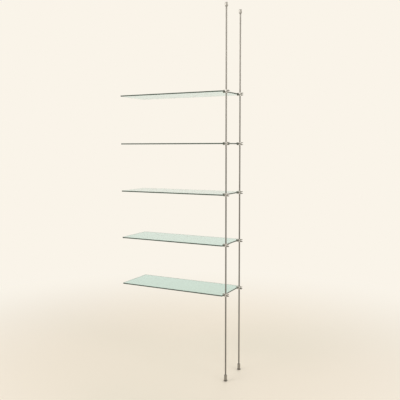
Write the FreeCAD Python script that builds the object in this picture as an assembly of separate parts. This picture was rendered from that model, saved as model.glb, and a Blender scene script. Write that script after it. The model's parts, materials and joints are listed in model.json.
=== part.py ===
# Floor-to-ceiling tension pole shelf unit: two thin poles, five glass shelves and ten two-sided shelf clamps.
#
# Millimetres.  +Z is up, the wall is towards +Y and the shelves reach out from the poles towards -X.
# The origin is on the floor, under the middle of the unit's outline.
#
# Each pole is wedged between floor and ceiling.  A threaded sleeve at its foot drives a jack down on to the
# floor, and a sprung cap at its top presses on the ceiling.  The shelf clamps slide on the poles and lock
# with a set screw.  Their left-hand forks grip the glass, and their right-hand forks wait for a next bay.
# Threads are plain: a screw has its full diameter, and its hole is a running clearance wider.
import FreeCAD, Part
import math
import os

# ---- Layout ----
ceiling_height = 2500.0        # floor to ceiling
pole_spacing = 225.0           # front pole's axis to rear pole's axis
pole_diameter = 10.0
lowest_shelf_height = 595.0    # floor to the middle of the lowest glass
shelf_pitch = 336.0
shelf_count = 5

# ---- Glass shelves ----
glass_length = 795.0
glass_overhang = 37.5          # how far the glass stands out past each pole's axis, front and rear
glass_thickness = 8.0
glass_corner_radius = 4.0
glass_arris = 0.8              # small bevel ground on every edge

# ---- Shelf clamps ----
hub_wall = 6.0                 # metal round the pole
hub_rise = 1.0                 # how far the hub stands above and below the forks
fork_web = 4.5                 # metal between the pole and the bottom of each fork
fork_depth = 12.0
fork_lip = 5.0                 # thickest part of the lips above and below the glass
liner_thickness = 1.0
liner_margin = 1.5             # bare metal left round each liner
clamp_screw_diameter = 5.0
clamp_chamfer = 0.8

# ---- Foot jacks ----
sleeve_wall = 5.0              # metal round the pole in the sleeve
sleeve_socket_depth = 12.0     # how far the pole goes into the sleeve
sleeve_flat_depth = 1.5        # how deep each spanner flat is cut
sleeve_flat_height = 10.0
keeper_screw_diameter = 4.0    # it keeps the sleeve from falling off the pole
keeper_groove_depth = 1.0
jack_screw_diameter = 8.0
jack_retraction = 2.0          # travel back from the set height
jack_extension = 12.0          # travel out from the set height
jack_least_grip = 8.0          # screw left in the sleeve at full extension
foot_flange_rim = 3.0          # how far the foot's flange stands out past the sleeve
foot_flange_height = 5.0

# ---- Sprung ceiling caps ----
cap_diameter = 20.0
cap_wall = 2.0
cap_top_thickness = 2.5
cap_travel = 6.0               # how far the cap can be pressed down
spring_wire = 1.5              # side of the square wire
spring_turns = 3.0
spring_side_gap = 1.2          # between the spring and the cap's wall
piston_head_thickness = 2.5
piston_screw_diameter = 6.0
piston_screw_length = 12.0
collar_plug_height = 3.0
collar_cone_height = 4.0
collar_tip_wall = 2.5          # metal round the pole at the cone's tip

# ---- Rubber pads, fits and edges ----
pad_thickness = 3.0
pad_recess = 1.0               # how deep each pad sits in its seat
pad_rim = 2.0                  # metal left round each pad
running_clearance = 0.05       # radial, between a pole or screw and the hole that it runs in
stop_gap = 0.3                 # between faces of pieces that move apart
seat_gap = 0.5                 # between a glass edge and the bottom of its fork
edge_chamfer = 0.8
pole_chamfer = 0.5

# ---- Sizes that follow ----
pole_radius = pole_diameter / 2
running_radius = pole_radius + running_clearance
glass_depth = pole_spacing + 2 * glass_overhang
fork_height = glass_thickness + 2 * liner_thickness
fork_bottom = pole_radius + fork_web
clamp_reach = fork_bottom + fork_depth
barrel_radius = fork_height / 2 + fork_lip
hub_radius = pole_radius + hub_wall
hub_height = 2 * (barrel_radius + hub_rise)
sleeve_radius = pole_radius + sleeve_wall
foot_flange_radius = sleeve_radius + foot_flange_rim
floor_pad_radius = foot_flange_radius - pad_rim
cap_radius = cap_diameter / 2
cap_inner_radius = cap_radius - cap_wall
ceiling_pad_radius = cap_radius - pad_rim
spring_height = cap_travel + (spring_turns + 1) * spring_wire + stop_gap

# ---- Places that follow ----
pole_x = (fork_bottom + seat_gap + glass_length - clamp_reach) / 2
pole_places = {"front": -pole_spacing / 2, "rear": pole_spacing / 2}
shelf_heights = [lowest_shelf_height + shelf_pitch * k for k in range(shelf_count)]

flange_base = pad_thickness - pad_recess
flange_top = flange_base + foot_flange_height
sleeve_base = flange_top + jack_retraction + stop_gap
sleeve_shoulder = sleeve_base + jack_least_grip + jack_extension + jack_retraction
sleeve_top = sleeve_shoulder + sleeve_socket_depth
jack_screw_top = sleeve_shoulder - jack_retraction
pole_base = sleeve_shoulder + stop_gap
keeper_height = sleeve_shoulder + sleeve_socket_depth / 2

cap_top = ceiling_height - pad_thickness + pad_recess
cap_inner_top = cap_top - cap_top_thickness
piston_top = cap_inner_top - spring_height
pole_top = piston_top - piston_head_thickness
collar_top = pole_top - stop_gap
cap_base = collar_top - collar_plug_height
collar_base = cap_base - collar_cone_height

RIGHT = FreeCAD.Vector(1, 0, 0)
BACK = FreeCAD.Vector(0, 1, 0)
UP = FreeCAD.Vector(0, 0, 1)


def at(x, y, z):
    return FreeCAD.Vector(x, y, z)


def placed(solid, x=0.0, y=0.0, z=0.0):
    moved = solid.copy()
    moved.translate(at(x, y, z))
    return moved


def upright_bar(radius, base, top):
    return Part.makeCylinder(radius, top - base, at(0, 0, base), UP)


def centred_block(length, depth, height):
    return Part.makeBox(length, depth, height, at(-length / 2, -depth / 2, -height / 2))


def turned(outline):
    """A piece turned on a lathe: an outline of (radius, height) pairs, spun about the Z axis."""
    points = [at(radius, 0, height) for radius, height in outline]
    face = Part.Face(Part.makePolygon(points + points[:1]))
    return face.revolve(at(0, 0, 0), UP, 360)


def with_chamfered_rims(bar, size):
    return bar.makeChamfer(size, [edge for edge in bar.Edges if edge.isClosed()])


def export(node, solids):
    """Write one sub-part, which is one solid or a group of like ones."""
    for solid in solids:
        if not solid.isValid() or len(solid.Solids) != 1:
            raise RuntimeError(node + " isn't one sound solid")
    shape = solids[0] if len(solids) == 1 else Part.makeCompound(solids)
    shape.exportStep("parts/" + node + ".step")


# ---- Poles ----

def pole():
    """A bar with a tapped hole in its top end and a groove round its foot for the sleeve's keeper screw."""
    groove_half = keeper_screw_diameter / 2 + stop_gap
    groove_radius = pole_radius - keeper_groove_depth
    hole_radius = piston_screw_diameter / 2 + running_clearance
    hole_base = pole_top - piston_screw_length - stop_gap
    return turned([
        (0, pole_base),
        (pole_radius - pole_chamfer, pole_base),
        (pole_radius, pole_base + pole_chamfer),
        (pole_radius, keeper_height - groove_half),
        (groove_radius, keeper_height - groove_half),
        (groove_radius, keeper_height + groove_half),
        (pole_radius, keeper_height + groove_half),
        (pole_radius, pole_top),
        (hole_radius, pole_top),
        (hole_radius, hole_base),
        (0, hole_base),
    ])


# ---- Ceiling ends ----

def spring_piston():
    """A wide-headed stud screwed into the pole's top.  The spring stands on it."""
    head_radius = cap_inner_radius - stop_gap
    screw_radius = piston_screw_diameter / 2
    return turned([
        (0, pole_top - piston_screw_length),
        (screw_radius, pole_top - piston_screw_length),
        (screw_radius, pole_top),
        (head_radius, pole_top),
        (head_radius, piston_top),
        (0, piston_top),
    ])


def tension_spring():
    """A coil of square wire that stands on the piston and pushes the cap up."""
    outer = cap_inner_radius - spring_side_gap
    inner = outer - spring_wire
    corners = [at(inner, 0, 0), at(outer, 0, 0), at(outer, 0, spring_wire), at(inner, 0, spring_wire)]
    wire_end = Part.makePolygon(corners + corners[:1])
    rise = spring_height - spring_wire - 2 * running_clearance
    centre_line = Part.Wire(Part.makeHelix(rise / spring_turns, rise, (inner + outer) / 2))
    coil = centre_line.makePipeShell([wire_end], True, True)
    return placed(coil, z=piston_top + running_clearance)


def ceiling_cap():
    """A cup, open side down, with a shallow seat for the pad on its top."""
    return turned([
        (cap_inner_radius, cap_base),
        (cap_radius, cap_base),
        (cap_radius, cap_top - edge_chamfer),
        (cap_radius - edge_chamfer, cap_top),
        (ceiling_pad_radius, cap_top),
        (ceiling_pad_radius, cap_top - pad_recess),
        (0, cap_top - pad_recess),
        (0, cap_inner_top),
        (cap_inner_radius, cap_inner_top),
    ])


def cap_collar():
    """A cone that screws into the cap's mouth and keeps the piston in.  It slides on the pole."""
    plug_radius = cap_inner_radius - running_clearance
    return turned([
        (running_radius, collar_base),
        (pole_radius + collar_tip_wall, collar_base),
        (cap_radius, cap_base),
        (plug_radius, cap_base),
        (plug_radius, collar_top),
        (running_radius, collar_top),
    ])


def ceiling_pad():
    return upright_bar(ceiling_pad_radius, cap_top - pad_recess, ceiling_height)


# ---- Foot ends ----

def foot_sleeve():
    """A barrel that turns on the pole's foot.  Its thread drives the jack, and a spanner fits its flats."""
    thread_radius = jack_screw_diameter / 2 + running_clearance
    barrel = turned([
        (thread_radius, sleeve_base),
        (sleeve_radius - edge_chamfer, sleeve_base),
        (sleeve_radius, sleeve_base + edge_chamfer),
        (sleeve_radius, sleeve_top - edge_chamfer),
        (sleeve_radius - edge_chamfer, sleeve_top),
        (running_radius, sleeve_top),
        (running_radius, sleeve_shoulder),
        (thread_radius, sleeve_shoulder),
    ])
    beside = centred_block(2 * sleeve_radius, 2 * sleeve_radius, 2 * sleeve_flat_height)
    for side in (-1, 1):
        offset = side * (2 * sleeve_radius - sleeve_flat_depth)
        barrel = barrel.cut(placed(beside, x=offset, z=sleeve_base))
    keeper_hole = Part.makeCylinder(keeper_screw_diameter / 2, sleeve_radius, at(0, 0, keeper_height), BACK)
    return barrel.cut(keeper_hole)


def keeper_screw():
    """A set screw through the sleeve's wall, with its tip in the pole's groove."""
    tip = pole_radius - keeper_groove_depth + stop_gap
    length = sleeve_radius - edge_chamfer - tip
    return Part.makeCylinder(keeper_screw_diameter / 2, length, at(0, tip, keeper_height), BACK)


def foot_jack():
    """A flange on a screw.  The screw runs in the sleeve, and the flange stands on its pad."""
    screw_radius = jack_screw_diameter / 2
    return turned([
        (0, pad_thickness),
        (floor_pad_radius, pad_thickness),
        (floor_pad_radius, flange_base),
        (foot_flange_radius, flange_base),
        (foot_flange_radius, flange_top - edge_chamfer),
        (foot_flange_radius - edge_chamfer, flange_top),
        (screw_radius, flange_top),
        (screw_radius, jack_screw_top),
        (0, jack_screw_top),
    ])


def floor_pad():
    return upright_bar(floor_pad_radius, 0, pad_thickness)


# ---- Shelves ----

def glass_shelf():
    """A plate with rounded corners and ground edges, set into the left-hand forks."""
    plate = centred_block(glass_length, glass_depth, glass_thickness)
    plate = plate.makeFillet(glass_corner_radius, [edge for edge in plate.Edges if edge.BoundBox.ZLength > 1])
    plate = plate.makeChamfer(glass_arris, [edge for edge in plate.Edges if edge.BoundBox.ZLength < 1])
    return placed(plate, x=-fork_bottom - seat_gap - glass_length / 2)


def shelf_clamp():
    """A hub that slides on the pole, crossed by a barrel whose two ends are slotted into forks."""
    hub = with_chamfered_rims(upright_bar(hub_radius, -hub_height / 2, hub_height / 2), clamp_chamfer)
    bar = Part.makeCylinder(barrel_radius, 2 * clamp_reach, at(-clamp_reach, 0, 0), RIGHT)
    clamp = hub.fuse(with_chamfered_rims(bar, clamp_chamfer))
    slot = centred_block(2 * fork_depth, 2 * hub_radius, fork_height)
    screw_hole = upright_bar(clamp_screw_diameter / 2, -barrel_radius, 0)
    for side in (-1, 1):
        clamp = clamp.cut(placed(slot, x=side * clamp_reach))
        clamp = clamp.cut(placed(screw_hole, x=side * (fork_bottom + fork_depth / 2)))
    lock_hole = Part.makeCylinder(clamp_screw_diameter / 2, hub_radius, at(0, 0, 0), BACK)
    bore = upright_bar(running_radius, -hub_height, hub_height)
    return clamp.cut(lock_hole).cut(bore)


def jaw_liners():
    """The four rubber strips of one clamp, stuck to the lips above and below each slot."""
    lip_width = 2 * math.sqrt(barrel_radius ** 2 - (fork_height / 2) ** 2)
    strip = centred_block(fork_depth - 2 * liner_margin, lip_width - 2 * liner_margin, liner_thickness)
    offset = fork_bottom + fork_depth / 2
    height = (glass_thickness + liner_thickness) / 2
    return [placed(strip, x=side * offset, z=level * height) for side in (-1, 1) for level in (-1, 1)]


def jaw_screws():
    """The two set screws of one clamp that press the lower strips up against the glass."""
    radius = clamp_screw_diameter / 2
    flush_base = -math.sqrt(barrel_radius ** 2 - radius ** 2)
    screw = upright_bar(radius, flush_base, -fork_height / 2)
    return [placed(screw, x=side * (fork_bottom + fork_depth / 2)) for side in (-1, 1)]


def lock_screw():
    """The set screw that locks a clamp on its pole, slackened until it just clears the pole."""
    tip = pole_radius + stop_gap
    length = hub_radius - clamp_chamfer - tip
    return Part.makeCylinder(clamp_screw_diameter / 2, length, at(0, tip, 0), BACK)


# ---- The whole unit ----

def facing_inwards(solid, side):
    """A piece of the rear pole is turned half round, so that its side screw faces the front pole."""
    piece = solid.copy()
    if side == "rear":
        piece.rotate(at(0, 0, 0), UP, 180)
    return piece


def export_poles_and_ends():
    pieces = {
        "pole": pole(),
        "spring_piston": spring_piston(),
        "tension_spring": tension_spring(),
        "ceiling_cap": ceiling_cap(),
        "cap_collar": cap_collar(),
        "ceiling_pad": ceiling_pad(),
        "foot_sleeve": foot_sleeve(),
        "keeper_screw": keeper_screw(),
        "foot_jack": foot_jack(),
        "floor_pad": floor_pad(),
    }
    for name, solid in pieces.items():
        for side, y in pole_places.items():
            export(side + "_" + name, [placed(facing_inwards(solid, side), x=pole_x, y=y)])


def export_shelves():
    glass = glass_shelf()
    clamp = shelf_clamp()
    for number, height in enumerate(shelf_heights, start=1):
        export("glass_shelf_%d" % number, [placed(glass, x=pole_x, z=height)])
        liners = []
        jaws = []
        locks = []
        for side, y in pole_places.items():
            export("%s_clamp_%d" % (side, number), [placed(facing_inwards(clamp, side), pole_x, y, height)])
            liners += [placed(strip, pole_x, y, height) for strip in jaw_liners()]
            jaws += [placed(screw, pole_x, y, height) for screw in jaw_screws()]
            locks.append(placed(facing_inwards(lock_screw(), side), pole_x, y, height))
        export("jaw_liners_%d" % number, liners)
        export("jaw_screws_%d" % number, jaws)
        export("lock_screws_%d" % number, locks)


os.makedirs("parts", exist_ok=True)
export_poles_and_ends()
export_shelves()
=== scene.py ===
"""Looks of the floor-to-ceiling shelf unit: satin poles, turned clamps and ends, and green-edged glass.

Metres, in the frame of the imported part: +Z is up, +Y is towards the wall, and the shelves
reach towards -X from the poles.
"""
import json
import math

import bmesh
import bpy
from mathutils import Matrix, Vector

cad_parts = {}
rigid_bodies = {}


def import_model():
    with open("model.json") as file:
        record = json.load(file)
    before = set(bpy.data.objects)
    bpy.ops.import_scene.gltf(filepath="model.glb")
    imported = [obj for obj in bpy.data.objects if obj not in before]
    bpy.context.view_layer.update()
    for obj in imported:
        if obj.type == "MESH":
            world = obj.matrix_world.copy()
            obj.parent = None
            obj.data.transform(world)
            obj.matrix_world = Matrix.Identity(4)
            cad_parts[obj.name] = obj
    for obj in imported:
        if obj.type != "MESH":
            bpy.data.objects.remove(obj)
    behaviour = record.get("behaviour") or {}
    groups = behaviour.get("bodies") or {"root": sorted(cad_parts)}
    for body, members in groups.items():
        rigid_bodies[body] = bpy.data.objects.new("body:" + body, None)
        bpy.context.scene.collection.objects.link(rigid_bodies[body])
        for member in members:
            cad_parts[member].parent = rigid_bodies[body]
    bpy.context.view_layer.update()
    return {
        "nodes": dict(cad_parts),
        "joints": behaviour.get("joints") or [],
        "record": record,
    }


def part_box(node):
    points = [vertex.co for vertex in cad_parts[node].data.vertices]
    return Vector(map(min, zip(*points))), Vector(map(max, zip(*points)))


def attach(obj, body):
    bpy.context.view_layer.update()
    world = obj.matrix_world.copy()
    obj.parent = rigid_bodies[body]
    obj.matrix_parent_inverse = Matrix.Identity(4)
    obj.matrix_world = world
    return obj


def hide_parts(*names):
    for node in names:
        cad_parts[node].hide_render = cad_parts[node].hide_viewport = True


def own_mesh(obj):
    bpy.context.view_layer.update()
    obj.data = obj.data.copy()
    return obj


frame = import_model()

MM = 0.001
SIDES = {"front": -1, "rear": 1}
BODIES = frame["record"]["behaviour"]["bodies"]
BODY_OF = {node: body for body, nodes in BODIES.items() for node in nodes}
SHELF_COUNT = sum(node.startswith("glass_shelf_") for node in BODY_OF)


# ---- Places and outer sizes, as the solids have them ----

def middle(node):
    low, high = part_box(node)
    return (low + high) / 2


def half_size(node):
    low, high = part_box(node)
    return (high - low) / 2


def base_and_top(node):
    low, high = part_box(node)
    return low.z, high.z


POLE_X = middle("rear_pole").x
HALF_SPACING = middle("rear_pole").y
POLE_RADIUS = half_size("rear_pole").x
POLE_BASE, POLE_TOP = base_and_top("rear_pole")

SHELF_HEIGHTS = [middle("glass_shelf_%d" % (number + 1)).z for number in range(SHELF_COUNT)]
FIRST_SHELF = SHELF_HEIGHTS[0]
SHELF_PITCH = SHELF_HEIGHTS[1] - FIRST_SHELF

CLAMP_REACH, HUB_RADIUS, HUB_HALF_HEIGHT = half_size("rear_clamp_1")
LINER_TOP = half_size("jaw_liners_1").z
LINER_HALF_WIDTH = half_size("jaw_liners_1").y - HALF_SPACING
JAW_SCREW_BASE, JAW_SCREW_TOP = (height - FIRST_SHELF for height in base_and_top("jaw_screws_1"))

CAP_RADIUS = half_size("rear_ceiling_cap").x
CAP_BASE, CAP_TOP = base_and_top("rear_ceiling_cap")
COLLAR_BASE, COLLAR_TOP = base_and_top("rear_cap_collar")
CEILING_PAD_RADIUS = half_size("rear_ceiling_pad").x
CEILING_PAD_BASE, CEILING = base_and_top("rear_ceiling_pad")
PISTON_TOP = base_and_top("rear_spring_piston")[1]

SLEEVE_RADIUS = half_size("rear_foot_sleeve").y
SLEEVE_BASE, SLEEVE_TOP = base_and_top("rear_foot_sleeve")
KEEPER_HEIGHT = middle("rear_keeper_screw").z
KEEPER_RADIUS = half_size("rear_keeper_screw").x
FLANGE_RADIUS = half_size("rear_foot_jack").x
FLANGE_BASE, JACK_TOP = base_and_top("rear_foot_jack")
FLOOR_PAD_RADIUS = half_size("rear_floor_pad").x
FLOOR_PAD_TOP = base_and_top("rear_floor_pad")[1]

# ---- Inner sizes and edges ----
RUNNING_CLEARANCE = 0.05 * MM
RUNNING_RADIUS = POLE_RADIUS + RUNNING_CLEARANCE
STOP_GAP = 0.3 * MM
CHAMFER = 0.8 * MM
POLE_CHAMFER = 0.5 * MM
FINE_ROUNDING = 0.2 * MM       # left by deburring on every turned edge
CUT_ROUNDING = 0.12 * MM       # left on milled and drilled edges, and on polished glass
SCREW_ROUNDING = 0.08 * MM

BARREL_RADIUS = 10 * MM
FORK_BOTTOM = 9.5 * MM         # from the pole's axis to the bottom of each fork
FORK_DEPTH = CLAMP_REACH - FORK_BOTTOM
JAW_CENTRE = FORK_BOTTOM + FORK_DEPTH / 2
CLAMP_SCREW_RADIUS = 2.5 * MM
CLAMP_SCREW_SOCKET = 2.5 * MM  # across the flats of its hexagon
LOCK_SCREW_LENGTH = HUB_RADIUS - CHAMFER - POLE_RADIUS - STOP_GAP
LINER_THICKNESS = 1 * MM
LINER_MARGIN = 1.5 * MM

GROOVE_RADIUS = POLE_RADIUS - 1 * MM
GROOVE_HALF_HEIGHT = KEEPER_RADIUS + STOP_GAP
KEEPER_SOCKET = 2 * MM
PISTON_HOLE_RADIUS = 3.05 * MM
PISTON_HOLE_DEPTH = 12.3 * MM

CAP_INNER_RADIUS = CAP_RADIUS - 2 * MM
CAP_CEILING = CAP_TOP - 2.5 * MM
COLLAR_TIP_RADIUS = POLE_RADIUS + 2.5 * MM
SPRING_WIRE_RADIUS = 0.75 * MM
SPRING_RADIUS = 6.05 * MM      # to the middle of the wire

THREAD_CREST = 4 * MM
THREAD_ROOT = 3.32 * MM
THREAD_PITCH = 1.25 * MM
FLANGE_TOP = 7 * MM
SLEEVE_SHOULDER = POLE_BASE - STOP_GAP
SLEEVE_FLAT_DEPTH = 1.5 * MM
SLEEVE_FLAT_HEIGHT = 10 * MM

GLASS_CORNER = 4 * MM
GLASS_ARRIS = 0.8 * MM
ARRIS_START = half_size("glass_shelf_1").z - GLASS_ARRIS
GLASS_IOR = 1.52

# ---- How finely shapes are divided and merged ----
FINE_STEPS = 96
SMALL_STEPS = 48
SEAM_MERGE = 0.002 * MM
CUT_MERGE = 0.01 * MM


# ---- Shader nodes ----

class Signal:
    """A number or colour that a node gives.  Arithmetic on numbers adds Math nodes."""

    def __init__(self, finish, node, output=0):
        self.finish = finish
        self.made_by = node
        self.socket = node.outputs[output] if node.outputs else None

    def part(self, output):
        return Signal(self.finish, self.made_by, output)

    def maths(self, operation, *values):
        return self.finish.node("ShaderNodeMath", {"operation": operation}, dict(enumerate(values)))

    def __add__(self, other):
        return self.maths("ADD", self, other)

    def __radd__(self, other):
        return self.maths("ADD", other, self)

    def __sub__(self, other):
        return self.maths("SUBTRACT", self, other)

    def __rsub__(self, other):
        return self.maths("SUBTRACT", other, self)

    def __mul__(self, other):
        return self.maths("MULTIPLY", self, other)

    def __rmul__(self, other):
        return self.maths("MULTIPLY", other, self)

    def __pow__(self, other):
        return self.maths("POWER", self, other)

    def __rpow__(self, other):
        return self.maths("POWER", other, self)

    def __abs__(self):
        return self.maths("ABSOLUTE", self)


class Finish:
    """The node tree of one material, or of the world."""

    def __init__(self, owner):
        owner.use_nodes = True
        self.owner = owner
        self.tree = owner.node_tree
        self.tree.nodes.clear()

    def node(self, kind, settings=None, sockets=None):
        made = self.tree.nodes.new(kind)
        for name, value in (settings or {}).items():
            setattr(made, name, value)
        for name, value in (sockets or {}).items():
            if isinstance(value, Signal):
                self.tree.links.new(value.socket, made.inputs[name])
            else:
                made.inputs[name].default_value = value
        return Signal(self, made)

    def place(self):
        """The point on the surface, in the part's own frame."""
        return self.node("ShaderNodeTexCoord").part("Object")

    def noise(self, place, scale, detail=2.0, roughness=0.5):
        """Random mottling.  scale is cycles per metre along X, Y and Z."""
        stretched = self.node("ShaderNodeMapping", {}, {"Vector": place, "Scale": scale})
        sockets = {"Vector": stretched, "Scale": 1.0, "Detail": detail, "Roughness": roughness}
        return self.node("ShaderNodeTexNoise", {}, sockets)

    def ramp(self, value, start, end, interpolation="LINEAR"):
        """A number that climbs from 0 to 1 as value goes from start to end."""
        sockets = {"Value": value, "From Min": start, "From Max": end}
        return self.node("ShaderNodeMapRange", {"interpolation_type": interpolation}, sockets)

    def blend(self, share, first, second):
        """A colour between two, by a share from 0 to 1."""
        sockets = {0: share, 6: first, 7: second}
        return self.node("ShaderNodeMix", {"data_type": "RGBA"}, sockets).part(2)

    def bump(self, height, strength, distance):
        sockets = {"Height": height, "Strength": strength, "Distance": distance}
        return self.node("ShaderNodeBump", {}, sockets)

    def surface(self, shader):
        self.node("ShaderNodeOutputMaterial", {}, {"Surface": shader})
        return self.owner


def colour(red, green, blue):
    """A material colour from screen values of 0 to 255."""
    def linear(value):
        value /= 255
        return value / 12.92 if value <= 0.04045 else ((value + 0.055) / 1.055) ** 2.4
    return (linear(red), linear(green), linear(blue), 1.0)


def dimmed(tone, share):
    return tuple(channel * share for channel in tone[:3]) + (1.0,)


# ---- Finishes ----

def steel(name, tone, roughness, line_depth, lines_on):
    """Bare steel, with the fine lines of its making from lines_on and a broad mottle from handling."""
    finish = Finish(bpy.data.materials.new(name))
    place = finish.place()
    lines = lines_on(finish, place)
    handled = finish.noise(place, (18, 18, 18), 3.0)
    return finish.surface(finish.node("ShaderNodeBsdfPrincipled", {}, {
        "Base Color": finish.blend(handled, dimmed(tone, 0.86), dimmed(tone, 1.12)),
        "Metallic": 1.0,
        "Roughness": roughness + 0.16 * lines - 0.06 * handled,
        "Normal": finish.bump(lines, line_depth, 0.02 * MM),
    }))


def around_pole(finish, place):
    """The distances right and back from the nearer pole's axis, and the height."""
    split = finish.node("ShaderNodeSeparateXYZ", {}, {"Vector": place})
    return split.part("X") - POLE_X, abs(split.part("Y")) - HALF_SPACING, split.part("Z")


def above_shelf(height):
    """The height above the middle of the nearest shelf."""
    half_pitch = SHELF_PITCH / 2
    return height.maths("WRAP", height - FIRST_SHELF, half_pitch, -half_pitch)


def rings(finish, radius, along):
    """Lathe lines: the same all round, and different at each radius and place along the axis."""
    profile = finish.node("ShaderNodeCombineXYZ", {}, {"X": radius, "Y": along})
    return finish.noise(profile, (5200, 5200, 1))


def drawn_lines(finish, place):
    """Fine lines along Z, as on bar drawn lengthwise."""
    return finish.noise(place, (2600, 2600, 9), 3.0)


def upright_rings(finish, place):
    """Lathe lines round an upright axis."""
    right, back, height = around_pole(finish, place)
    return rings(finish, (right ** 2 + back ** 2) ** 0.5, height)


def level_rings(finish, place):
    """Lathe lines round the forks' own level axis."""
    right, back, height = around_pole(finish, place)
    return rings(finish, (back ** 2 + above_shelf(height) ** 2) ** 0.5, right)


def fine_grain(finish, place):
    return finish.noise(place, (1800, 1800, 1800), 3.0)


def rubber(name, tone):
    """Moulded rubber with a fine matt grain and pale dust."""
    finish = Finish(bpy.data.materials.new(name))
    place = finish.place()
    grain = finish.noise(place, (3000, 3000, 3000), 4.0, 0.6)
    dust = finish.noise(place, (90, 90, 90), 3.0)
    return finish.surface(finish.node("ShaderNodeBsdfPrincipled", {}, {
        "Base Color": finish.blend(dust, dimmed(tone, 0.8), dimmed(tone, 1.5)),
        "Roughness": 0.7 + 0.2 * grain,
        "Specular IOR Level": 0.3,
        "Normal": finish.bump(grain, 0.4, 0.05 * MM),
    }))


def float_glass(name, straight, slanting):
    """Clear float glass with faint wiping marks, of a deeper green where it is seen at a slant."""
    finish = Finish(bpy.data.materials.new(name))
    wiped = finish.noise(finish.place(), (14, 30, 14), 4.0, 0.6)
    facing = finish.node("ShaderNodeLayerWeight", {}, {"Blend": 0.5}).part("Facing")
    slant = finish.ramp(facing, 0.35, 0.8, "SMOOTHSTEP")
    tints = (finish.blend(wiped, dimmed(tint, 0.985), tint) for tint in (straight, slanting))
    body = finish.node("ShaderNodeBsdfPrincipled", {}, {
        "Base Color": finish.blend(slant, *tints),
        "Roughness": 0.004 + 0.012 * wiped,
        "IOR": GLASS_IOR,
        "Transmission Weight": 1.0,
    })
    lamp_light = finish.node("ShaderNodeBsdfTransparent", {}, {"Color": dimmed(straight, 0.95)})
    lamp_ray = finish.node("ShaderNodeLightPath").part("Is Shadow Ray")
    return finish.surface(finish.node("ShaderNodeMixShader", {}, {0: lamp_ray, 1: body, 2: lamp_light}))


def glass_edge(name, deep, ground):
    """A polished edge, green with all the glass behind it and streaked lighter and darker along its
    length with painted internal reflections, between two paler ground arrises.
    """
    finish = Finish(bpy.data.materials.new(name))
    place = finish.place()
    level = above_shelf(finish.node("ShaderNodeSeparateXYZ", {}, {"Vector": place}).part("Z"))
    fade = 0.1 * MM
    arris = finish.ramp(abs(level), ARRIS_START - fade, ARRIS_START + fade)
    # Painted reflections: noise bands that lighten and darken the edge's green, standing in for light
    # reflected inside the glass.
    painted_reflection_streaks = finish.noise(place, (9, 9, 420), 3.0)
    depth = finish.blend(painted_reflection_streaks, dimmed(deep, 0.45), dimmed(deep, 1.6))
    grit = finish.noise(place, (2400, 2400, 2400))
    return finish.surface(finish.node("ShaderNodeBsdfPrincipled", {}, {
        "Base Color": finish.blend(arris, depth, ground),
        "Roughness": 0.07 + 0.3 * arris,
        "IOR": GLASS_IOR,
        "Transmission Weight": 0.35,
        "Normal": finish.bump(grit * arris, 0.5, 0.02 * MM),
    }))


POLE_STEEL = steel("satin_pole_steel", (0.215, 0.206, 0.190), 0.24, 0.35, drawn_lines)
END_STEEL = steel("turned_end_steel", (0.32, 0.308, 0.287), 0.20, 0.5, upright_rings)
# The clamp is one turned piece of steel: its hub takes a lighter tone as a painted highlight, its forks a
# darker tone as painted shade.
HUB_STEEL_PAINTED_HIGHLIGHT = steel("turned_hub_steel_painted_highlight", (0.52, 0.511, 0.488), 0.18, 0.5, upright_rings)
FORK_STEEL_PAINTED_SHADE = steel("turned_fork_steel_painted_shade", (0.30, 0.285, 0.26), 0.20, 0.5, level_rings)
SCREW_STEEL = steel("set_screw_steel", (0.26, 0.26, 0.27), 0.28, 0.3, fine_grain)
SPRING_STEEL = steel("spring_steel", (0.24, 0.24, 0.25), 0.30, 0.3, fine_grain)
PAD_RUBBER = rubber("pad_rubber", (0.020, 0.020, 0.021))
LINER_RUBBER = rubber("liner_rubber", (0.055, 0.055, 0.052))
GLASS_FACE = float_glass("float_glass", (0.76, 0.89, 0.865, 1.0), (0.38, 0.665, 0.635, 1.0))
GLASS_EDGE = glass_edge("polished_glass_edge", (0.075, 0.115, 0.088), (0.30, 0.40, 0.35, 1.0))


# ---- Shaping ----

def lathe(outline, steps=72):
    """A solid turned about the Z axis from (radius, height) corners, closed on the axis or on itself."""
    bm = bmesh.new()
    corners = [bm.verts.new((radius, 0, height)) for radius, height in outline]
    pairs = list(zip(corners, corners[1:]))
    if outline[0][0] > 0:
        pairs.append((corners[-1], corners[0]))
    profile = corners + [bm.edges.new(pair) for pair in pairs]
    bmesh.ops.spin(
        bm, geom=profile, axis=(0, 0, 1), cent=(0, 0, 0), angle=2 * math.pi, steps=steps, use_merge=True,
    )
    bmesh.ops.remove_doubles(bm, verts=bm.verts, dist=SEAM_MERGE)
    bmesh.ops.recalc_face_normals(bm, faces=bm.faces)
    return bm


def block(length, depth, height):
    bm = bmesh.new()
    bmesh.ops.create_cube(bm, size=1.0)
    bmesh.ops.scale(bm, vec=(length, depth, height), verts=bm.verts)
    return bm


def bar(radius, base, top, steps=72):
    """A closed cylinder, or with six steps a hexagonal one."""
    bm = bmesh.new()
    length = top - base
    bmesh.ops.create_cone(bm, cap_ends=True, segments=steps, radius1=radius, radius2=radius, depth=length)
    return moved(bm, z=base + length / 2)


def moved(bm, x=0.0, y=0.0, z=0.0):
    bmesh.ops.translate(bm, vec=(x, y, z), verts=bm.verts)
    return bm


def swung(bm, degrees, axis):
    turn = Matrix.Rotation(math.radians(degrees), 3, axis)
    bmesh.ops.rotate(bm, cent=(0, 0, 0), matrix=turn, verts=bm.verts)
    return bm


def softened(bm, width, steps=2, sharper_than=25):
    """Round over every outward edge that is sharper than an angle."""
    limit = math.radians(sharper_than)
    outward = [edge for edge in bm.edges if edge.is_manifold and edge.is_convex]
    sharp = [edge for edge in outward if edge.calc_face_angle() > limit]
    bmesh.ops.bevel(
        bm, geom=sharp, offset=width, offset_type="OFFSET", affect="EDGES", segments=steps,
        profile=0.5, material=-1, clamp_overlap=False,
    )
    return bm


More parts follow.
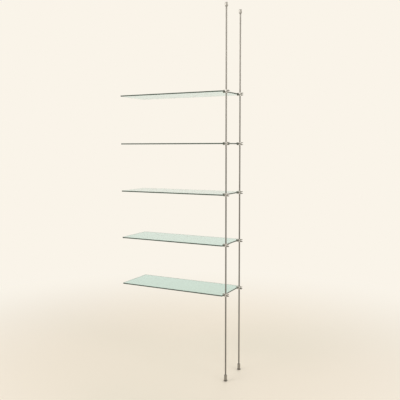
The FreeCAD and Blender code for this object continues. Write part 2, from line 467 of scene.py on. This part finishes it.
def coil(section, rises, steps):
    """A section in the XZ plane, wound round the Z axis by rises: numbers of turns and their climbs."""
    bm = bmesh.new()
    ring = [bm.verts.new((radius, 0, height)) for radius, height in section]
    edges = [bm.edges.new(pair) for pair in zip(ring, ring[1:] + ring[:1])]
    end = bmesh.ops.contextual_create(bm, geom=edges)["faces"] + edges
    for turns, rise in rises:
        count = round(steps * turns)
        wound = bmesh.ops.spin(
            bm, geom=end, axis=(0, 0, 1), cent=(0, 0, 0), angle=2 * math.pi * turns, steps=count,
            dvec=(0, 0, rise / count), use_duplicate=False,
        )
        end = wound["geom_last"]
    bmesh.ops.remove_doubles(bm, verts=bm.verts, dist=SEAM_MERGE)
    bmesh.ops.recalc_face_normals(bm, faces=bm.faces)
    return bm


def together(shapes):
    """Several shapes as one mesh, without joining their surfaces."""
    first = shapes[0]
    for other in shapes[1:]:
        mesh = bpy.data.meshes.new("part")
        other.to_mesh(mesh)
        other.free()
        first.from_mesh(mesh)
        bpy.data.meshes.remove(mesh)
    return first


def carved(shape, tool, operation="DIFFERENCE"):
    """One shape cut by another, or united with it."""
    objects = []
    for bm in (shape, tool):
        mesh = bpy.data.meshes.new("work")
        bm.to_mesh(mesh)
        bm.free()
        objects.append(bpy.data.objects.new("work", mesh))
        bpy.context.scene.collection.objects.link(objects[-1])
    cutter = objects[0].modifiers.new("carve", "BOOLEAN")
    cutter.operation = operation
    cutter.solver = "MANIFOLD"
    cutter.object = objects[1]
    evaluated = objects[0].evaluated_get(bpy.context.evaluated_depsgraph_get())
    result = bmesh.new()
    result.from_mesh(evaluated.to_mesh())
    evaluated.to_mesh_clear()
    for made in objects:
        mesh = made.data
        bpy.data.objects.remove(made)
        bpy.data.meshes.remove(mesh)
    bmesh.ops.remove_doubles(result, verts=result.verts, dist=CUT_MERGE)
    bmesh.ops.recalc_face_normals(result, faces=result.faces)
    return result


def meshed(shape, finishes, choose=None):
    """A shape as a mesh with smooth faces that stay crisp where they meet at an angle."""
    crisp = math.radians(32)
    shape.normal_update()
    for face in shape.faces:
        face.smooth = True
        face.material_index = int(choose(face)) if choose else 0
    for edge in shape.edges:
        edge.smooth = not edge.is_manifold or edge.calc_face_angle() < crisp
    mesh = bpy.data.meshes.new("piece")
    shape.to_mesh(mesh)
    shape.free()
    for finish in finishes:
        mesh.materials.append(finish)
    return mesh


def placed(mesh, side, height=0.0):
    """A copy of a mesh at one pole, turned half round at the rear one, so side screws face inwards."""
    copy = mesh.copy()
    turn = Matrix.Rotation(math.pi if side == "rear" else 0.0, 4, "Z")
    copy.transform(Matrix.Translation((POLE_X, SIDES[side] * HALF_SPACING, height)) @ turn)
    return copy


def joined(meshes):
    """Several placed meshes as one."""
    both = bmesh.new()
    for mesh in meshes:
        both.from_mesh(mesh)
    both.to_mesh(meshes[0])
    both.free()
    return meshes[0]


def show(name, mesh, node):
    """Show a piece in a node's stead, on the node's body."""
    piece = bpy.data.objects.new(name, mesh)
    bpy.context.scene.collection.objects.link(piece)
    shading = piece.modifiers.new("even_shading", "WEIGHTED_NORMAL")
    shading.keep_sharp = True
    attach(piece, BODY_OF[node])
    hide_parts(node)
    return piece


# ---- Poles and their ceiling ends ----

def pole_shape():
    """A bar with a tapped hole in its top end and a groove round its foot."""
    return softened(lathe([
        (0, POLE_BASE),
        (POLE_RADIUS - POLE_CHAMFER, POLE_BASE),
        (POLE_RADIUS, POLE_BASE + POLE_CHAMFER),
        (POLE_RADIUS, KEEPER_HEIGHT - GROOVE_HALF_HEIGHT),
        (GROOVE_RADIUS, KEEPER_HEIGHT - GROOVE_HALF_HEIGHT),
        (GROOVE_RADIUS, KEEPER_HEIGHT + GROOVE_HALF_HEIGHT),
        (POLE_RADIUS, KEEPER_HEIGHT + GROOVE_HALF_HEIGHT),
        (POLE_RADIUS, POLE_TOP),
        (PISTON_HOLE_RADIUS, POLE_TOP),
        (PISTON_HOLE_RADIUS, POLE_TOP - PISTON_HOLE_DEPTH),
        (0, POLE_TOP - PISTON_HOLE_DEPTH),
    ]), FINE_ROUNDING)


def cap_shape():
    """A cup, open side down, with a shallow seat for the pad on its top."""
    return softened(lathe([
        (0, CAP_CEILING),
        (CAP_INNER_RADIUS, CAP_CEILING),
        (CAP_INNER_RADIUS, CAP_BASE),
        (CAP_RADIUS, CAP_BASE),
        (CAP_RADIUS, CAP_TOP - CHAMFER),
        (CAP_RADIUS - CHAMFER, CAP_TOP),
        (CEILING_PAD_RADIUS, CAP_TOP),
        (CEILING_PAD_RADIUS, CEILING_PAD_BASE),
        (0, CEILING_PAD_BASE),
    ], FINE_STEPS), FINE_ROUNDING)


def collar_shape():
    """A cone that closes the cap's mouth and slides on the pole."""
    plug_radius = CAP_INNER_RADIUS - RUNNING_CLEARANCE
    return softened(lathe([
        (RUNNING_RADIUS, COLLAR_BASE),
        (COLLAR_TIP_RADIUS, COLLAR_BASE),
        (CAP_RADIUS, CAP_BASE),
        (plug_radius, CAP_BASE),
        (plug_radius, COLLAR_TOP),
        (RUNNING_RADIUS, COLLAR_TOP),
    ], FINE_STEPS), FINE_ROUNDING)


def pad_shape(radius, base, top):
    """A disc of rubber with moulded, rounded rims."""
    return softened(lathe([(0, base), (radius, base), (radius, top), (0, top)]), 0.3 * MM, 3)


def spring_shape():
    """A compression spring of round wire, with half a dead turn at each end."""
    wire_sides = 12
    section = [
        (SPRING_RADIUS + SPRING_WIRE_RADIUS * math.cos(turn), SPRING_WIRE_RADIUS * math.sin(turn))
        for turn in (2 * math.pi * step / wire_sides for step in range(wire_sides))
    ]
    dead_rise = 0.4 * MM
    first_turn = PISTON_TOP + SPRING_WIRE_RADIUS + RUNNING_CLEARANCE
    last_turn = CAP_CEILING - SPRING_WIRE_RADIUS - RUNNING_CLEARANCE
    live_rise = last_turn - first_turn - 2 * dead_rise
    rises = [(0.5, dead_rise), (2, live_rise), (0.5, dead_rise)]
    return moved(coil(section, rises, SMALL_STEPS), z=first_turn)


# ---- Foot ends ----

def set_screw(radius, length, across_flats):
    """A grub screw that stands on its socket end, with a cup point on top."""
    end_chamfer = 0.4 * MM
    tip_chamfer = 0.5 * MM
    cup_depth = 0.4 * MM
    screw = softened(lathe([
        (0, 0),
        (radius - end_chamfer, 0),
        (radius, end_chamfer),
        (radius, length - tip_chamfer),
        (radius - tip_chamfer, length),
        (radius * 0.45, length),
        (0, length - cup_depth),
    ], SMALL_STEPS), SCREW_ROUNDING)
    return carved(screw, bar(across_flats / math.sqrt(3), -1 * MM, 0.5 * length, 6))


def side_screw(radius, length, outer_end, across_flats):
    """A grub screw that is driven in from +Y towards the pole's axis."""
    return moved(swung(set_screw(radius, length, across_flats), 90, "X"), y=outer_end)


def side_hole(radius, depth):
    """A tool that bores from the pole's axis out through the +Y side."""
    return swung(bar(radius, 0, depth, SMALL_STEPS), -90, "X")


def sleeve_shape():
    """A barrel with two spanner flats, a threaded bore and a hole for the keeper screw."""
    barrel = softened(lathe([
        (THREAD_CREST + RUNNING_CLEARANCE, SLEEVE_BASE),
        (SLEEVE_RADIUS - CHAMFER, SLEEVE_BASE),
        (SLEEVE_RADIUS, SLEEVE_BASE + CHAMFER),
        (SLEEVE_RADIUS, SLEEVE_TOP - CHAMFER),
        (SLEEVE_RADIUS - CHAMFER, SLEEVE_TOP),
        (RUNNING_RADIUS, SLEEVE_TOP),
        (RUNNING_RADIUS, SLEEVE_SHOULDER),
        (THREAD_CREST + RUNNING_CLEARANCE, SLEEVE_SHOULDER),
    ], FINE_STEPS), FINE_ROUNDING)
    for side in (-1, 1):
        beside = block(2 * SLEEVE_RADIUS, 3 * SLEEVE_RADIUS, 2 * SLEEVE_FLAT_HEIGHT)
        offset = side * (2 * SLEEVE_RADIUS - SLEEVE_FLAT_DEPTH)
        barrel = carved(barrel, moved(beside, x=offset, z=SLEEVE_BASE))
    barrel = carved(barrel, moved(side_hole(KEEPER_RADIUS, 1.5 * SLEEVE_RADIUS), z=KEEPER_HEIGHT))
    return softened(barrel, CUT_ROUNDING, 2, 40)


def keeper_screw_shape():
    """The set screw whose tip runs in the pole's groove and holds the sleeve on it."""
    tip = GROOVE_RADIUS + STOP_GAP
    outer_end = SLEEVE_RADIUS - CHAMFER
    return moved(side_screw(KEEPER_RADIUS, outer_end - tip, outer_end, KEEPER_SOCKET), z=KEEPER_HEIGHT)


def jack_shape():
    """A threaded stud on a flange with a seat for its pad."""
    stud_chamfer = 0.6 * MM
    stud = softened(lathe([
        (0, FLOOR_PAD_TOP),
        (FLOOR_PAD_RADIUS, FLOOR_PAD_TOP),
        (FLOOR_PAD_RADIUS, FLANGE_BASE),
        (FLANGE_RADIUS, FLANGE_BASE),
        (FLANGE_RADIUS, FLANGE_TOP - CHAMFER),
        (FLANGE_RADIUS - CHAMFER, FLANGE_TOP),
        (THREAD_ROOT, FLANGE_TOP),
        (THREAD_ROOT, JACK_TOP - stud_chamfer),
        (THREAD_ROOT - stud_chamfer, JACK_TOP),
        (0, JACK_TOP),
    ]), FINE_ROUNDING)
    turns = int((JACK_TOP - FLANGE_TOP - THREAD_PITCH) / THREAD_PITCH)
    buried = THREAD_ROOT - 0.1 * MM
    half_crest = 0.07 * THREAD_PITCH
    half_root = 0.42 * THREAD_PITCH
    section = [
        (buried, -half_root),
        (THREAD_CREST, -half_crest),
        (THREAD_CREST, half_crest),
        (buried, half_root),
    ]
    ridge = coil(section, [(turns, turns * THREAD_PITCH)], 24)
    return carved(stud, moved(ridge, z=FLANGE_TOP + 0.5 * THREAD_PITCH), "UNION")


# ---- Shelves ----

def glass_shape(low, high):
    """A plate with rounded corners and a ground, polished arris along every edge."""
    size = high - low
    plate = block(*size)
    corners = [edge for edge in plate.edges if edge.calc_length() < 1.5 * size.z]
    bmesh.ops.bevel(
        plate, geom=corners, offset=GLASS_CORNER, offset_type="OFFSET", affect="EDGES", segments=10,
        profile=0.5, material=-1, clamp_overlap=True,
    )
    softened(plate, GLASS_ARRIS, 1, 60)
    softened(plate, CUT_ROUNDING, 2, 30)
    return moved(plate, *(low + high) / 2)


def rimmed_bar(radius, half_length):
    """A bar turned with a chamfer at each end."""
    return softened(lathe([
        (0, -half_length),
        (radius - CHAMFER, -half_length),
        (radius, CHAMFER - half_length),
        (radius, half_length - CHAMFER),
        (radius - CHAMFER, half_length),
        (0, half_length),
    ], FINE_STEPS), FINE_ROUNDING)


def clamp_shape():
    """A hub that slides on the pole, crossed by a barrel whose two ends are slotted into forks."""
    hub = rimmed_bar(HUB_RADIUS, HUB_HALF_HEIGHT)
    barrel = swung(rimmed_bar(BARREL_RADIUS, CLAMP_REACH), 90, "Y")
    clamp = carved(hub, barrel, "UNION")
    for side in (-1, 1):
        slot = block(2 * FORK_DEPTH, 3 * BARREL_RADIUS, 2 * LINER_TOP)
        tapped_hole = bar(CLAMP_SCREW_RADIUS, -1.5 * BARREL_RADIUS, 0, SMALL_STEPS)
        clamp = carved(clamp, moved(slot, x=side * CLAMP_REACH))
        clamp = carved(clamp, moved(tapped_hole, x=side * JAW_CENTRE))
    clamp = carved(clamp, side_hole(CLAMP_SCREW_RADIUS, 1.5 * HUB_RADIUS))
    clamp = carved(clamp, bar(RUNNING_RADIUS, -2 * HUB_HALF_HEIGHT, 2 * HUB_HALF_HEIGHT))
    return softened(clamp, CUT_ROUNDING, 2, 40)


def liner_shape():
    """The rubber strips of one clamp, above and below each slot."""
    size = (FORK_DEPTH - 2 * LINER_MARGIN, 2 * LINER_HALF_WIDTH, LINER_THICKNESS)
    offset = LINER_TOP - LINER_THICKNESS / 2
    return together([
        moved(softened(block(*size), FINE_ROUNDING), x=side * JAW_CENTRE, z=level * offset)
        for side in (-1, 1) for level in (-1, 1)
    ])


def jaw_screw_shape():
    """The two set screws of one clamp that press its lower strips up."""
    length = JAW_SCREW_TOP - JAW_SCREW_BASE
    return moved(together([
        moved(set_screw(CLAMP_SCREW_RADIUS, length, CLAMP_SCREW_SOCKET), x=side * JAW_CENTRE)
        for side in (-1, 1)
    ]), z=JAW_SCREW_BASE)


def lock_screw_shape():
    """The set screw that locks one clamp on its pole."""
    return side_screw(CLAMP_SCREW_RADIUS, LOCK_SCREW_LENGTH, HUB_RADIUS - CHAMFER, CLAMP_SCREW_SOCKET)


# ---- The pieces in their places ----

def on_fork(face):
    """Whether a clamp's face lies outside its hub, and so takes the darker steel of painted shade rather
    than the hub's lighter steel of painted highlight.
    """
    return face.calc_center_median().xy.length > HUB_RADIUS + 0.02 * MM


def on_edge(face):
    """Whether a plate's face is neither its top nor its underside."""
    return abs(face.normal.z) < 0.98


def show_poles_and_ends():
    """What stands at each pole: the pole itself, its jack below and its sprung cap above."""
    ceiling_pad = pad_shape(CEILING_PAD_RADIUS, CEILING_PAD_BASE, CEILING)
    floor_pad = pad_shape(FLOOR_PAD_RADIUS, 0, FLOOR_PAD_TOP)
    pieces = {
        "pole": ("pole_bar", meshed(pole_shape(), [POLE_STEEL])),
        "ceiling_cap": ("cap_shell", meshed(cap_shape(), [END_STEEL])),
        "cap_collar": ("cap_cone", meshed(collar_shape(), [END_STEEL])),
        "ceiling_pad": ("cap_pad", meshed(ceiling_pad, [PAD_RUBBER])),
        "tension_spring": ("coil_spring", meshed(spring_shape(), [SPRING_STEEL])),
        "foot_sleeve": ("sleeve_barrel", meshed(sleeve_shape(), [END_STEEL])),
        "keeper_screw": ("sleeve_screw", meshed(keeper_screw_shape(), [SCREW_STEEL])),
        "foot_jack": ("jack_foot", meshed(jack_shape(), [END_STEEL])),
        "floor_pad": ("jack_pad", meshed(floor_pad, [PAD_RUBBER])),
    }
    for node, (name, mesh) in pieces.items():
        for side in SIDES:
            show(side + "_" + name, placed(mesh, side), side + "_" + node)


def show_springs_squeezed():
    """Each spring gets a mesh of its own; how much it would shorten as its cap rides down is worked out
    but not applied.
    """
    room = CAP_CEILING - PISTON_TOP
    for side in SIDES:
        joint = next(joint for joint in frame["joints"] if joint["name"] == side + "_cap_press")
        travel = max(abs(limit) for limit in joint["range_m"])
        spring = bpy.data.objects[side + "_coil_spring"]
        1 - travel / room
        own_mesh(spring)


def show_shelves():
    """The glass and its two clamps on each shelf, with their liners and screws."""
    # The hub's faces get the lighter, painted-highlight steel and the forks' faces the darker,
    # painted-shade steel.
    clamp = meshed(clamp_shape(), [HUB_STEEL_PAINTED_HIGHLIGHT, FORK_STEEL_PAINTED_SHADE], on_fork)
    pairs = {
        "jaw_liners": ("jaw_strips", meshed(liner_shape(), [LINER_RUBBER])),
        "jaw_screws": ("jaw_set_screws", meshed(jaw_screw_shape(), [SCREW_STEEL])),
        "lock_screws": ("lock_set_screws", meshed(lock_screw_shape(), [SCREW_STEEL])),
    }
    for number, height in enumerate(SHELF_HEIGHTS, start=1):
        glass = "glass_shelf_%d" % number
        plate = meshed(glass_shape(*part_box(glass)), [GLASS_FACE, GLASS_EDGE], on_edge)
        show("glass_plate_%d" % number, plate, glass)
        for side in SIDES:
            name = "%s_clamp_body_%d" % (side, number)
            show(name, placed(clamp, side, height), "%s_clamp_%d" % (side, number))
        for node, (name, mesh) in pairs.items():
            both = joined([placed(mesh, side, height) for side in SIDES])
            show("%s_%d" % (name, number), both, "%s_%d" % (node, number))


def dress_pistons():
    """The pistons keep the shape that the solids give them."""
    for side in SIDES:
        for material_slot in frame["nodes"][side + "_spring_piston"].material_slots:
            material_slot.material = SCREW_STEEL


dress_pistons()
show_poles_and_ends()
show_springs_squeezed()
show_shelves()


# ---- Floor, light and camera ----

BACKDROP = colour(250, 244, 233)
FLOOR = colour(236, 227, 212)
FLOOR_RADIUS = 40.0
FADE_START = 0.7
FADE_END = 3.2

EYE = (1.9579, -3.5119, 1.5833)
TURNED_LEFT = 27.356           # the camera's angles, in degrees
TILTED_DOWN = 5.349
ROLLED = -0.099
LENS = 51.34                   # millimetres, on a sensor 36 mm wide


def pale_floor():
    """A level floor that fades into the backdrop all round, so that no horizon shows."""
    bm = bmesh.new()
    bmesh.ops.create_circle(bm, cap_ends=True, segments=128, radius=FLOOR_RADIUS)
    mesh = bpy.data.meshes.new("floor")
    bm.to_mesh(mesh)
    bm.free()
    floor = bpy.data.objects.new("floor", mesh)
    bpy.context.scene.collection.objects.link(floor)
    finish = Finish(bpy.data.materials.new("floor_paint"))
    split = finish.node("ShaderNodeSeparateXYZ", {}, {"Vector": finish.place()})
    reach = (split.part("X") ** 2 + split.part("Y") ** 2) ** 0.5
    faded = finish.ramp(reach, FADE_START, FADE_END, "SMOOTHSTEP")
    paint = finish.node("ShaderNodeBsdfPrincipled", {}, {"Base Color": FLOOR, "Roughness": 0.8})
    distance = finish.node("ShaderNodeEmission", {}, {"Color": BACKDROP})
    mixed = finish.node("ShaderNodeMixShader", {}, {0: faded, 1: paint, 2: distance})
    mesh.materials.append(finish.surface(mixed))


def pale_world(light_strength):
    """The backdrop as seen, mirrored and looked through, and a plainer light for matt surfaces."""
    world = bpy.data.worlds.new("studio")
    bpy.context.scene.world = world
    finish = Finish(world)
    path = finish.node("ShaderNodeLightPath")
    seen = path.part("Is Camera Ray") + path.part("Is Glossy Ray") + path.part("Is Transmission Ray")
    share = seen.maths("MINIMUM", seen, 1.0)
    sockets = {"Color": (1.0, 0.985, 0.96, 1.0), "Strength": light_strength}
    light = finish.node("ShaderNodeBackground", {}, sockets)
    backdrop = finish.node("ShaderNodeBackground", {}, {"Color": BACKDROP, "Strength": 1.0})
    mixed = finish.node("ShaderNodeMixShader", {}, {0: share, 1: light, 2: backdrop})
    finish.node("ShaderNodeOutputWorld", {}, {"Surface": mixed})


def away_from_glass():
    """Everything but the glass, on which the softboxes would show as hard white patches."""
    glare = bpy.data.collections.new("no_glare")
    for number in range(SHELF_COUNT):
        glare.objects.link(bpy.data.objects["glass_plate_%d" % (number + 1)])
    for item in glare.collection_objects:
        item.light_linking.link_state = "EXCLUDE"
    return glare


def softbox(name, place, aim, width, height, watts, tone=(1.0, 0.97, 0.93)):
    """A soft lamp that lights everything but the glass."""
    lamp = bpy.data.lights.new(name, "AREA")
    lamp.shape = "RECTANGLE"
    lamp.size = width
    lamp.size_y = height
    lamp.energy = watts
    lamp.color = tone
    box = bpy.data.objects.new(name, lamp)
    bpy.context.scene.collection.objects.link(box)
    box.location = place
    box.rotation_euler = (Vector(aim) - Vector(place)).to_track_quat("-Z", "Y").to_euler()
    box.light_linking.receiver_collection = GLARE_FREE


def photographer():
    """A camera at standing eye height, to the right of the unit."""
    lens = bpy.data.cameras.new("camera")
    lens.sensor_width = 36.0
    lens.lens = LENS
    lens.clip_start = 0.05
    lens.clip_end = 200.0
    camera = bpy.data.objects.new("camera", lens)
    bpy.context.scene.collection.objects.link(camera)
    camera.location = EYE
    turn = Matrix.Rotation(math.radians(TURNED_LEFT), 4, "Z")
    tilt = Matrix.Rotation(math.radians(90 - TILTED_DOWN), 4, "X")
    roll = Matrix.Rotation(math.radians(ROLLED), 4, "Z")
    camera.rotation_euler = (turn @ tilt @ roll).to_euler()
    bpy.context.scene.camera = camera


GLARE_FREE = away_from_glass()
pale_floor()
pale_world(light_strength=0.66)
softbox("key_softbox", (-2.2, -3.6, 3.4), aim=(0.0, 0.0, 1.2), width=2.4, height=2.4, watts=75)
softbox("side_softbox", (3.6, -1.2, 2.6), aim=(0.2, 0.0, 1.2), width=1.6, height=2.6, watts=40)
softbox("back_softbox", (-0.6, 3.4, 3.2), aim=(0.0, 0.0, 1.2), width=2.4, height=1.6, watts=40)
photographer()

bpy.context.scene.view_settings.view_transform = "Standard"
